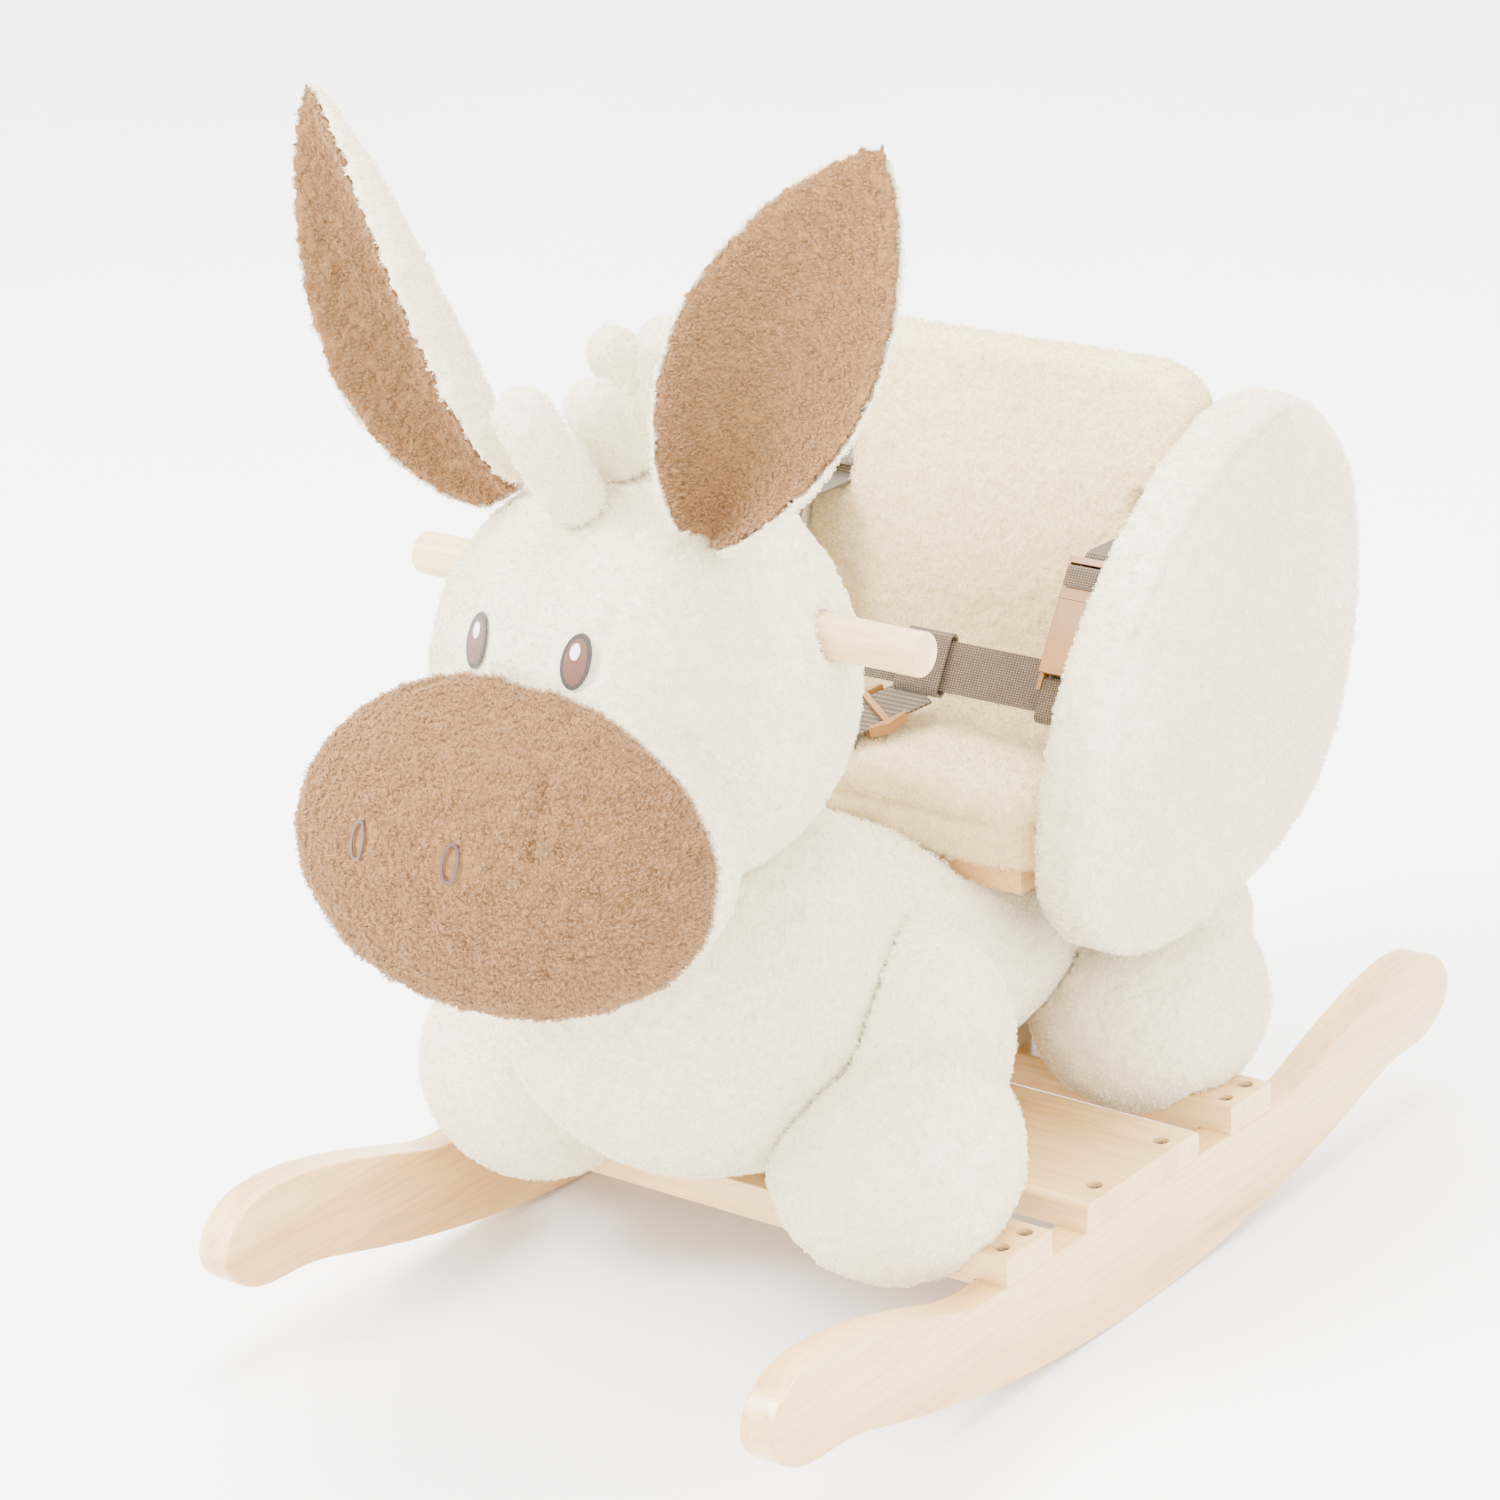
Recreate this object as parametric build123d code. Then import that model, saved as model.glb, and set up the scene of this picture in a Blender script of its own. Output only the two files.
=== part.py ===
from build123d import *
import os
from math import cos, hypot, radians, sin, sqrt

# Plush donkey rocker with a padded seat on a two-runner wooden base.
# Millimetres. +Z is up, the nose points to -Y and the animal's left is +X.
# The origin is on the floor, midway between the runners and midway along them.

# ---- driving sizes ----
overall_width = 330.0
runner_length = 590.0
runner_thickness = 18.0
rocker_radius = 750.0
deck_height = 57.5
seat_height = 247.0
handle_height = 361.5
handle_y = -136.0
handle_length = 281.0
handle_diameter = 20.0
backrest_tilt = 11.0
webbing_width = 25.0
plywood = 12.0
fit_gap = 0.3
far = 400.0

# ---- wooden base ----
slat_width = 37.0
slat_offset = 97.2
board_width = 98.0
lap_thickness = 14.5
slat_rebate = 3.0
deck_top = deck_height + lap_thickness
inner_gap = overall_width - 2 * runner_thickness
runner_mid_x = overall_width / 2 - runner_thickness / 2
slat_hole_offset = 9.3
board_hole_offset = 29.0
edge_round = 1.5
slat_edge_round = 1.0
board_edge_round = 4.0

# ---- screws ----
shank_radius = 2.0
clearance_radius = 2.2
head_radius = 3.6
head_height = 3.0
counterbore_radius = 4.0
counterbore_depth = 5.0
deck_screw_length = 34.0
frame_screw_length = 40.0
back_screw_length = 40.0
wing_screw_length = 32.0
recess_width = 1.0
recess_length = 4.4
recess_depth = 1.4

# ---- inner frame ----
rail_inner_x = 26.0
rail_mid_x = rail_inner_x + plywood / 2
rail_outer_x = rail_inner_x + plywood
pedestal_half_length = 93.0
frame_screw_offset = 86.0
seat_board_top = 205.0
seat_board_bottom = seat_board_top - plywood
seat_board_half_width = 95.0
seat_board_rear_y = 140.0
seat_front_y = -2.0
seat_board_inset = 6.0
back_screw_alongs = (-9.0, -40.0)
rail_back_y = 130.0
rail_back_low_z = 150.0
rail_corner_z = 140.0
arm_front_y = -152.0
arm_bottom_z = 112.0
post_depth = 28.0
post_bottom_z = 116.0
post_top_z = 388.0
post_edge_round = 3.0
neck_bolt_heights = (136.0, 172.0)
handle_end_round = 1.2
skirt_wall = 1.5
skirt_top_z = 108.0

# ---- seat ----
back_origin = (0.0, 107.0, seat_board_top)
back_board_half_width = 104.0
back_board_top = 195.0
back_tongue_half_width = 40.0
back_tongue_drop = 62.0
back_pad_front = 11.0
back_pad_rear = 9.0
back_pad_half_width = 109.0
back_pad_bottom = 4.0
back_pad_top = 214.0
back_pad_top_round = 34.0
back_pad_foot_round = 18.0
back_pad_front_round = 8.0
back_pad_rear_round = 6.0
back_pad_mouth = 20.0
pad_gap = 0.5
cushion_half_width = 110.0
cushion_rear_y = 150.0
cushion_corner_round = 26.0
cushion_edge_round = 13.0
board_slot_gap = 2.0
cushion_slot_gap = 2.5
wing_inner_x = 111.0
wing_thickness = 32.0
wing_board_thickness = 9.0
wing_board_x = wing_inner_x + (wing_thickness - wing_board_thickness) / 2
wing_middle = (110.0, 275.0)
wing_core_share = 0.86
tab_half_length = 34.0
tab_mid_y = 66.0
wing_screw_offset = 22.0
wing_edge_round = 9.0

# ---- plush animal ----
torso_centre, torso_radii = (0, -2, 152), (95, 176, 66)
chest_centre, chest_radii = (0, -118, 175), (98, 97, 92)
head_centre, head_radii = (0, -152, 332), (98, 92, 98)
muzzle_centre, muzzle_radii = (0, -246, 283), (105, 80, 73)
muzzle_seam_y = -239.0
front_foot_centre, front_foot_radii = (103, -113, 107), (58, 61, 58)
front_shin_centre, front_shin_radii = (82, -84, 150), (56, 56, 56)
hind_foot_centre, hind_foot_radii = (102, 106, 104), (57, 64, 53)
hind_thigh_centre, hind_thigh_radii = (74, 126, 134), (64, 62, 56)
embroidery_height = 0.8
eye_half_width, eye_half_height = 6.5, 11.5
nostril_half_width, nostril_half_height = 4.2, 8.6
nostril_thread = 1.3
eye_x, eye_z = 27.5, 367.0
nostril_x, nostril_z = 25.5, 303.0
left_ear_root, left_ear_turn, left_ear_lean = (60, -176, 420), 14.0, 29.0
left_ear_cup, left_ear_half_width = 80.0, 56.0
right_ear_root, right_ear_turn, right_ear_lean = (-54, -176, 422), -28.0, -36.0
right_ear_cup, right_ear_half_width = 48.0, 45.0
ear_length = 196.0
ear_root_depth = 22.0
ear_pile = 6.5
front_tuft = [((0, -196, 425), (0, -228, 470), 13)]
middle_tuft = [((0, -160, 425), (0, -180, 462), 13)]
rear_tuft = [((0, -118, 425), (6, -135, 480), 13), ((0, -118, 425), (-30, -128, 470), 12)]

# ---- harness ----
webbing_thickness = 1.4
harness_lean = 30.0
harness_origin = (0.0, 50.0, 280.0)
crotch_foot = (-13.0, 8.0, 254.0)
crotch_top_x = 11.0
buckle_x = 94.5
buckle_width = 30.0
buckle_thickness = 9.0
buckle_back = 2.2
socket_bottom, socket_top = -3.0, 41.0
plug_top = 62.0
prong_reach = 27.0
buckle_wall = 2.6
strap_mid = webbing_thickness / 2
anchor_along = 143.5
anchor_plate_thickness = 1.5
anchor_screw_radius = 1.5
anchor_screw_length = 10.0
anchor_screw_offset = 6.0
anchor_head_radius, anchor_head_height = 2.6, 1.4
anchor_plate_width, anchor_plate_height = 22.0, 9.0
crotch_anchor_setback = 20.0
loop_length, loop_depth = 32.0, 8.0
slide_half_width, slide_half_height, slide_bar = 17.5, 10.0, 3.0
slide_near, slide_far = 1.1, 2.9
buckle_edge_round = 1.6
pocket_width, pocket_height = 27.0, 25.0


def on_left_and_right(shape):
    """The shape on the animal's left and its mirror image on the right."""
    return shape + mirror(shape, about=Plane.YZ)


def ellipsoid(centre, radii):
    """A stuffed form: an ellipsoid with its own radius along each axis, seamed down the middle."""
    half = scale(Rot(0, 0, -90) * Sphere(1, arc_size3=180, align=None), by=radii)
    return Pos(*centre) * on_left_and_right(half)


def block(x0, x1, y0, y1, z0, z1):
    """A box between two corners."""
    return Pos((x0 + x1) / 2, (y0 + y1) / 2, (z0 + z1) / 2) * Box(x1 - x0, y1 - y0, z1 - z0)


def capsule(start, end, radius):
    """A round-ended rod from start to end."""
    axis = Vector(*end) - Vector(*start)
    rod = Plane(origin=start, z_dir=axis) * Cylinder(
        radius, axis.length, align=(Align.CENTER, Align.CENTER, Align.MIN)
    )
    return rod + Pos(*start) * Sphere(radius) + Pos(*end) * Sphere(radius)


def screw(length):
    """A wood screw: a round head with a cross recess above a plain shank pointing down."""
    head = Pos(0, 0, head_height / 2) * Cylinder(head_radius, head_height)
    shank = Pos(0, 0, -length / 2) * Cylinder(shank_radius, length)
    slot = Box(recess_length, recess_width, recess_depth)
    recess = Pos(0, 0, head_height - recess_depth / 2) * (slot + Rot(0, 0, 90) * slot)
    return head + shank - recess


def screw_hole(length):
    """The pilot hole that a screw's thread bites into."""
    return Pos(0, 0, -length / 2) * Cylinder(shank_radius, length)


def ribbon_face(points, radii, thickness):
    """The side view of a strap: a strip of even thickness along straight runs and arcs."""

    def offset_line(side):
        moved = []
        for i, point in enumerate(points):
            before = points[max(i - 1, 0)]
            after = points[min(i + 1, len(points) - 1)]
            inward = unit(before, point) if i else unit(point, after)
            onward = unit(point, after) if i < len(points) - 1 else inward
            nx, ny = -inward[1] - onward[1], inward[0] + onward[0]
            stretch = side * thickness / (1 + inward[0] * onward[0] + inward[1] * onward[1])
            moved.append((point[0] + nx * stretch / 2, point[1] + ny * stretch / 2))
        return moved

    def corner_radii(side):
        out = []
        for i, radius in enumerate(radii):
            ax, ay = unit(points[i], points[i + 1])
            bx, by = unit(points[i + 1], points[i + 2])
            turn = 1 if ax * by - ay * bx > 0 else -1
            out.append(radius - side * turn * thickness / 2)
        return out

    left, right = offset_line(1), offset_line(-1)
    edges = Curve() + [
        FilletPolyline(*left, radius=corner_radii(1)),
        FilletPolyline(*right, radius=corner_radii(-1)),
        Line(left[0], right[0]),
        Line(left[-1], right[-1]),
    ]
    return make_face(edges)


def unit(a, b):
    """The direction from a to b in the plane."""
    span = hypot(b[0] - a[0], b[1] - a[1])
    return (b[0] - a[0]) / span, (b[1] - a[1]) / span


# ---- wooden base ----
def runner():
    """The left runner: a rocker arc below, a straight deck above, a rounded knob at each end."""
    half = runner_length / 2
    sole_y = 0.695 * half
    sole_z = rocker_radius - sqrt(rocker_radius**2 - sole_y**2)
    knob_points = [
        (sole_y, sole_z),
        (0.83 * half, 37.0),
        (0.945 * half, 41.0),
        (half, 59.0),
        (0.965 * half, 77.5),
        (0.86 * half, 85.0),
        (0.70 * half, 77.5),
        (0.55 * half, 64.5),
        (0.415 * half, deck_height),
    ]
    start_tangent = (rocker_radius - sole_z, sole_y)
    knob = Spline(*knob_points, tangents=[start_tangent, (-1, 0)])
    far_knob = mirror(knob, about=Plane.YZ)
    sole = ThreePointArc((-sole_y, sole_z), (0, 0), (sole_y, sole_z))
    deck = Line((-0.415 * half, deck_height), (0.415 * half, deck_height))
    outline = make_face(Curve() + [knob, far_knob, sole, deck])
    plank = extrude(Plane.YZ.offset(inner_gap / 2) * outline, runner_thickness)
    plank = fillet(plank.edges().filter_by(Axis.X, reverse=True), edge_round)
    for y in deck_screw_rows():
        plank -= Pos(runner_mid_x, y, deck_top - counterbore_depth) * screw_hole(deck_screw_length)
    return plank


def deck_screw_rows():
    """The y of each screw that holds the cross pieces to a runner."""
    slats = [s * slat_offset + h * slat_hole_offset for s in (-1, 1) for h in (-1, 1)]
    return slats + [-board_hole_offset, board_hole_offset]


def cross_piece(y_mid, width, rebate, hole_rows, long_edge_round):
    """A board across the runners, thicker between them where it has a rebate."""
    half = overall_width / 2
    piece = block(-half, half, y_mid - width / 2, y_mid + width / 2, deck_height, deck_top)
    if rebate:
        inside = inner_gap / 2 - fit_gap
        low = deck_height - rebate
        piece += block(-inside, inside, y_mid - width / 2, y_mid + width / 2, low, deck_height)
    long_edges = piece.edges().filter_by(Axis.X).sort_by(Axis.Z)[-2:]
    piece = fillet(long_edges, long_edge_round)
    for x in (-runner_mid_x, runner_mid_x):
        for y in hole_rows:
            piece -= Pos(x, y, deck_top) * Cylinder(counterbore_radius, 2 * counterbore_depth)
            piece -= Pos(x, y, deck_height) * Cylinder(clearance_radius, 3 * lap_thickness)
    for place in frame_screw_places():
        piece -= place * Cylinder(clearance_radius, 3 * lap_thickness)
        piece -= place * Cylinder(counterbore_radius, 2 * head_height)
    return piece


def slat(side):
    """The front (side -1) or rear (side 1) slat."""
    rows = [side * slat_offset + h * slat_hole_offset for h in (-1, 1)]
    return cross_piece(side * slat_offset, slat_width, slat_rebate, rows, slat_edge_round)


def middle_board():
    """The wide board between the slats, which also takes the child's feet."""
    rows = [-board_hole_offset, board_hole_offset]
    return cross_piece(0.0, board_width, 0.0, rows, board_edge_round)


def deck_screws():
    """The screws seen from above, in their counterbores."""
    seat_z = deck_top - counterbore_depth
    return [
        Pos(x, y, seat_z) * screw(deck_screw_length)
        for x in (-runner_mid_x, runner_mid_x)
        for y in deck_screw_rows()
    ]


def frame_screw_places():
    """Where the screws go up through the cross pieces into the side rails."""
    under_slat = deck_height - slat_rebate + head_height
    rows = [
        (-frame_screw_offset, under_slat),
        (0.0, deck_height + head_height),
        (frame_screw_offset, under_slat),
    ]
    return [Pos(x, y, z) * Rot(180, 0, 0) for x in (-rail_mid_x, rail_mid_x) for y, z in rows]


# ---- inner frame ----
def back_place(x=0.0, along=0.0, behind=0.0):
    """A place on the backrest: x across, along up its slope, behind into its thickness."""
    tilt = radians(backrest_tilt)
    y = back_origin[1] + along * sin(tilt) + behind * cos(tilt)
    z = back_origin[2] + along * cos(tilt) - behind * sin(tilt)
    return Pos(x, y, z) * Rot(-backrest_tilt, 0, 0)


def behind_backrest(depth):
    """Everything behind a plane that lies depth in front of the backrest board."""
    return back_place(0, 0, -depth) * Pos(0, far, 0) * Box(2 * far, 2 * far, 2 * far)


def side_rail():
    """The left plywood rail: it stands on the cross pieces and carries the seat and the neck post."""
    outline = Polyline(
        (-pedestal_half_length, deck_top),
        (pedestal_half_length, deck_top),
        (pedestal_half_length, rail_corner_z),
        (rail_back_y, rail_back_low_z),
        (rail_back_y, seat_board_bottom),
        (arm_front_y, seat_board_bottom),
        (arm_front_y, arm_bottom_z),
        (-pedestal_half_length, arm_bottom_z),
        close=True,
    )
    rail = extrude(Plane.YZ.offset(rail_inner_x) * make_face(outline), plywood)
    rail -= behind_backrest(0.0)
    for place in frame_screw_places():
        rail -= place * screw_hole(frame_screw_length)
    for place in neck_bolt_places():
        rail -= place * Cylinder(shank_radius, 4 * rail_outer_x)
    for place in back_screw_places():
        rail -= place * screw_hole(back_screw_length)
    return rail


def cross_panel(side):
    """The front (-1) or rear (1) panel between the rails."""
    y0, y1 = sorted((side * pedestal_half_length, side * (pedestal_half_length - plywood)))
    return block(-rail_inner_x, rail_inner_x, y0, y1, deck_top, seat_board_bottom)


def neck_post():
    """The beech post in the neck, with the handle's hole near its top."""
    post = block(
        -rail_inner_x,
        rail_inner_x,
        handle_y - post_depth / 2,
        handle_y + post_depth / 2,
        post_bottom_z,
        post_top_z,
    )
    post = fillet(post.edges().filter_by(Axis.Z), post_edge_round)
    post -= Pos(0, handle_y, handle_height) * Rot(0, 90, 0) * Cylinder(
        handle_diameter / 2, 4 * rail_inner_x
    )
    for place in neck_bolt_places():
        post -= place * Cylinder(shank_radius, 4 * rail_outer_x)
    post -= handle_pin_place() * Cylinder(shank_radius, 2 * post_depth)
    return post


def neck_bolt_places():
    """Two places across the rails, one above the other, where bolts hold the neck post."""
    return [Pos(0, handle_y, z) * Rot(0, 90, 0) for z in neck_bolt_heights]


def neck_bolts():
    """Bolts right through both rails and the neck post, with a head and a nut outside."""
    reach = 2 * rail_outer_x + 2 * head_height
    bolt = Cylinder(shank_radius, reach)
    ends = Pos(0, 0, rail_outer_x + head_height / 2) * Cylinder(head_radius, head_height)
    bolt += ends + mirror(ends, about=Plane.XY)
    return [place * bolt for place in neck_bolt_places()]


def handle_pin_place():
    """Where the pin crosses the neck post and the handle."""
    return Pos(0, handle_y, handle_height) * Rot(90, 0, 0)


def handle_dowel():
    """The turned handle right through the head, with softened ends."""
    rod = Pos(0, handle_y, handle_height) * Rot(0, 90, 0) * Cylinder(
        handle_diameter / 2, handle_length
    )
    rod = fillet(rod.edges().filter_by(GeomType.CIRCLE), handle_end_round)
    return rod - handle_pin_place() * Cylinder(shank_radius, 2 * post_depth)


def handle_pin():
    """The steel pin that stops the handle from turning."""
    return handle_pin_place() * Cylinder(shank_radius, post_depth)


def seat_blank():
    """The plywood seat's outer shape, with a tab on each side that carries a wing."""
    board = block(
        -seat_board_half_width,
        seat_board_half_width,
        seat_front_y + seat_board_inset,
        seat_board_rear_y,
        seat_board_bottom,
        seat_board_top,
    )
    board += block(
        -wing_board_x,
        wing_board_x,
        tab_mid_y - tab_half_length,
        tab_mid_y + tab_half_length,
        seat_board_bottom,
        seat_board_top,
    )
    return board - behind_backrest(0.0)


def seat_board():
    """The plywood seat with its strap slot and screw holes."""
    board = with_anchor_holes(seat_blank() - crotch_slot(board_slot_gap))
    for place in back_screw_places():
        board -= place * screw_hole(back_screw_length)
    for place in wing_screw_places():
        board -= on_left_and_right(place * screw_hole(wing_screw_length))
    return board


def backrest_blank():
    """The plywood backrest's outer shape, a narrow tongue down behind the seat and the rails."""
    top = back_place(0, back_board_top / 2, plywood / 2) * Box(
        2 * back_board_half_width, plywood, back_board_top
    )
    tongue = back_place(0, -back_tongue_drop / 2, plywood / 2) * Box(
        2 * back_tongue_half_width, plywood, back_tongue_drop
    )
    return top + tongue


def backrest_board():
    """The plywood backrest with its screw holes."""
    board = backrest_blank()
    for place in back_screw_places():
        board -= place * Cylinder(clearance_radius, 4 * plywood)
    board = with_anchor_holes(board)
    return board


def back_screw_places():
    """Where screws go forward through the backrest board: two in the seat, two in the rails."""
    return [
        back_place(x, along, plywood) * Rot(-90, 0, 0)
        for x in (-rail_mid_x, rail_mid_x)
        for along in back_screw_alongs
    ]


def wing_outline(share=1.0):
    """The padded side wing seen from the side: an egg with its round end low at the back."""
    rim = [
        (-14, 212),
        (14, 304),
        (80, 371),
        (166, 402),
        (226, 358),
        (238, 276),
        (196, 193),
        (108, 160),
        (28, 164),
    ]
    mid_y, mid_z = wing_middle
    points = [(mid_y + share * (y - mid_y), mid_z + share * (z - mid_z)) for y, z in rim]
    return Spline(*points, periodic=True)


def wing_core():
    """The outer shape of the left wing's plywood core."""
    outline = make_face(wing_outline(wing_core_share))
    return extrude(Plane.YZ.offset(wing_board_x) * outline, wing_board_thickness)


def wing_board():
    """The plywood core of the left wing, with its screw holes."""
    board = wing_core()
    for place in wing_screw_places():
        board -= place * Cylinder(clearance_radius, 4 * wing_board_thickness)
    return board


def wing_screw_places():
    """Where screws go inward through the wing board into the seat board's tab."""
    x = wing_board_x + wing_board_thickness
    z = seat_board_top - plywood / 2
    rows = (tab_mid_y - wing_screw_offset, tab_mid_y + wing_screw_offset)
    return [Pos(x, y, z) * Rot(0, 90, 0) for y in rows]


# ---- padding ----
def wing_pad():
    """The stuffed cover of the left wing, slit below where the seat board's tab comes in."""
    pad = extrude(Plane.YZ.offset(wing_inner_x) * make_face(wing_outline()), wing_thickness)
    pad = fillet(pad.edges(), wing_edge_round)
    pad -= wing_core() + seat_blank()
    for place in wing_screw_places():
        pad -= place * Cylinder(head_radius, 2 * head_height)
    return pad


def backrest_pad():
    """The stuffed cover of the backrest, open at the bottom round its board."""
    depth = back_pad_front + plywood + back_pad_rear
    height = back_pad_top - back_pad_bottom
    middle = (plywood + back_pad_rear - back_pad_front) / 2
    pad = Box(2 * back_pad_half_width, depth, height)
    upright = pad.edges().filter_by(Axis.Y)
    pad = fillet(upright.group_by(Axis.Z)[-1], back_pad_top_round)
    foot_corners = pad.edges().filter_by(Axis.Y).group_by(Axis.Z)[0]
    pad = fillet(foot_corners, back_pad_foot_round)
    pad = fillet(pad.faces().sort_by(Axis.Y)[0].edges(), back_pad_front_round)
    pad = fillet(pad.faces().sort_by(Axis.Y)[-1].edges(), back_pad_rear_round)
    pad = back_place(0, back_pad_bottom + height / 2, middle) * pad
    pad -= backrest_blank()
    pad -= back_place(0, 0, plywood / 2) * Box(
        2 * back_board_half_width, plywood, 2 * back_pad_mouth
    )
    for side in (-1, 1):
        pad -= strap_pocket(side)
    return pad


def seat_cushion():
    """The seat cushion, round at its front corners, with a slot for the crotch strap."""
    cushion = block(
        -cushion_half_width,
        cushion_half_width,
        seat_front_y,
        cushion_rear_y,
        seat_board_top,
        seat_height,
    )
    front = cushion.edges().filter_by(Axis.Z).group_by(Axis.Y)[0]
    cushion = fillet(front, cushion_corner_round)
    cushion -= behind_backrest(back_pad_front + pad_gap)
    top_edges = cushion.faces().sort_by(Axis.Z)[-1].edges()
    cushion = fillet(top_edges, cushion_edge_round)
    return cushion - crotch_slot(cushion_slot_gap)


# ---- plush animal ----
def head_plush():
    """The stuffed head and cheeks, with the room for the neck post and the handle."""
    cheeks = ellipsoid(muzzle_centre, muzzle_radii) - in_front_of_seam()
    head = ellipsoid(head_centre, head_radii) + cheeks
    return head - neck_room() - handle_room()


def in_front_of_seam():
    """Everything in front of the seam between the cheeks and the muzzle."""
    return block(-far, far, -far, muzzle_seam_y, -far, 2 * far)


def neck_room():
    """The room for the neck post inside the stuffing."""
    return block(
        -rail_inner_x - fit_gap,
        rail_inner_x + fit_gap,
        handle_y - post_depth / 2 - fit_gap,
        handle_y + post_depth / 2 + fit_gap,
        arm_bottom_z,
        post_top_z + fit_gap,
    )


def handle_room():
    """The room for the handle inside the stuffing."""
    return Pos(0, handle_y, handle_height) * Rot(0, 90, 0) * Cylinder(
        handle_diameter / 2 + fit_gap, handle_length
    )


def muzzle_plush():
    """The muzzle, sewn to the front of the cheeks."""
    muzzle = ellipsoid(muzzle_centre, muzzle_radii) & in_front_of_seam()
    return muzzle - ellipsoid(head_centre, head_radii)


def frame_room():
    """The room for the rails, panels, bolts and skirt inside the torso."""
    side = rail_outer_x + fit_gap
    skirt_side = side + skirt_wall
    skirt_end = pedestal_half_length + fit_gap + skirt_wall
    below = deck_top - lap_thickness
    room = block(
        -side, side, -pedestal_half_length, seat_board_rear_y, below, seat_board_bottom
    )
    room += block(-side, side, arm_front_y - fit_gap, 0, arm_bottom_z - fit_gap, seat_board_bottom)
    room += block(-skirt_side, skirt_side, -skirt_end, skirt_end, below, skirt_top_z)
    for place in neck_bolt_places():
        room += place * Cylinder(head_radius + fit_gap, 2 * rail_outer_x + 4 * head_height)
    return room


def torso_plush():
    """The stuffed body and chest round the wooden frame."""
    body = ellipsoid(torso_centre, torso_radii) + ellipsoid(chest_centre, chest_radii)
    body -= ellipsoid(head_centre, head_radii)
    body -= ellipsoid(muzzle_centre, muzzle_radii)
    body -= frame_room() + neck_room()
    body -= block(-far, far, seat_front_y, far, seat_board_top, far)
    body -= seat_room()
    for side in (-1, 1):
        body -= slat(side)
    return body - on_left_and_right(wing_solid())


def seat_room():
    """The room for the seat board and the backrest's tongue."""
    room = block(-far, far, seat_front_y, far, seat_board_bottom, seat_board_top)
    room -= behind_backrest(0.0)
    tongue = back_place(0, -back_tongue_drop / 2, plywood / 2) * Box(
        2 * back_tongue_half_width, plywood + 2 * head_height, back_tongue_drop
    )
    return room + tongue


def wing_solid():
    """The wing's full outer shape, to cut its neighbours with."""
    return extrude(Plane.YZ.offset(wing_inner_x) * make_face(wing_outline()), wing_thickness)


def leg(foot_centre, foot_radii, upper_centre, upper_radii, slat_side):
    """A stuffed left leg: a round foot over the slat and an upper part against the torso."""
    limb = ellipsoid(foot_centre, foot_radii) + ellipsoid(upper_centre, upper_radii)
    limb -= ellipsoid(torso_centre, torso_radii) + ellipsoid(chest_centre, chest_radii)
    limb -= ellipsoid(muzzle_centre, muzzle_radii)
    limb -= frame_room()
    limb -= slat(slat_side)
    limb -= wing_solid()
    limb -= runner_room()
    return limb


def runner_room():
    """The space kept free round the left runner."""
    return block(inner_gap / 2 - fit_gap, far, -far, far, -far, deck_height + fit_gap)


def front_leg():
    return leg(front_foot_centre, front_foot_radii, front_shin_centre, front_shin_radii, -1)


def hind_leg():
    return leg(hind_foot_centre, hind_foot_radii, hind_thigh_centre, hind_thigh_radii, 1)


def base_skirt():
    """The smooth cloth sleeve round the pedestal under the belly."""
    inner_x = rail_outer_x + fit_gap
    inner_y = pedestal_half_length + fit_gap
    sleeve = block(
        -inner_x - skirt_wall,
        inner_x + skirt_wall,
        -inner_y - skirt_wall,
        inner_y + skirt_wall,
        deck_top,
        skirt_top_z,
    )
    return sleeve - block(-inner_x, inner_x, -inner_y, inner_y, deck_top - 1, skirt_top_z + 1)


def ear_place(root, turn, lean):
    """The ear's own frame: it grows along +Z and its hollow faces -Y, turned about its length."""
    return Pos(*root) * Rot(0, lean, 0) * Rot(0, 0, turn)


def ear_layer(cup_radius, inner, outer, wide):
    """One cloth layer of a cupped leaf, between two distances from the cup's axis."""
    side = Spline(
        (0, ear_length),
        (0.62 * wide, 0.86 * ear_length),
        (wide, 0.52 * ear_length),
        (0.72 * wide, 0.20 * ear_length),
        (0.26 * wide, -ear_root_depth),
        tangents=[(1, -0.15), (-0.35, -1)],
    )
    other = mirror(side, about=Plane.YZ)
    root = Line((-0.26 * wide, -ear_root_depth), (0.26 * wide, -ear_root_depth))
    leaf = make_face(Curve() + [side, other, root])
    blank = extrude(Plane.XZ * leaf, 2 * cup_radius, both=True)
    tall = 2 * (ear_length + 2 * ear_root_depth)
    shell = Cylinder(cup_radius + outer, tall) - Cylinder(cup_radius + inner, tall)
    rear_half = Pos(0, cup_radius, 0) * Box(4 * cup_radius, 2 * cup_radius, 2 * tall)
    return blank & (Pos(0, -cup_radius, 0) * (shell & rear_half))


def ear(place, cup_radius, half_width):
    """The pile lining and the plain back of one ear, both cut off at the head."""
    head = ellipsoid(head_centre, head_radii)
    lining = place * ear_layer(cup_radius, -ear_pile, 0.0, 0.93 * half_width)
    back = place * ear_layer(cup_radius, 0.0, ear_pile, half_width)
    return largest(lining - head), largest(back - head)


def largest(shape):
    """The biggest solid of a cut shape."""
    return shape.solids().sort_by(SortBy.VOLUME)[-1]


def mane_tuft(lobes):
    """A soft tuft of rounded lobes (start, end, radius) standing on the head."""
    tuft = capsule(*lobes[0])
    for lobe in lobes[1:]:
        tuft += capsule(*lobe)
    return largest(tuft - ellipsoid(head_centre, head_radii))


def raised_patch(centre, radii, outline_place, outline):
    """Embroidery: the outline carried on to the plush and raised a little above it."""
    grown = tuple(r + embroidery_height for r in radii)
    shell = ellipsoid(centre, grown) - ellipsoid(centre, radii)
    return largest(shell & (outline_place * extrude(outline, radii[1])))


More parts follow.
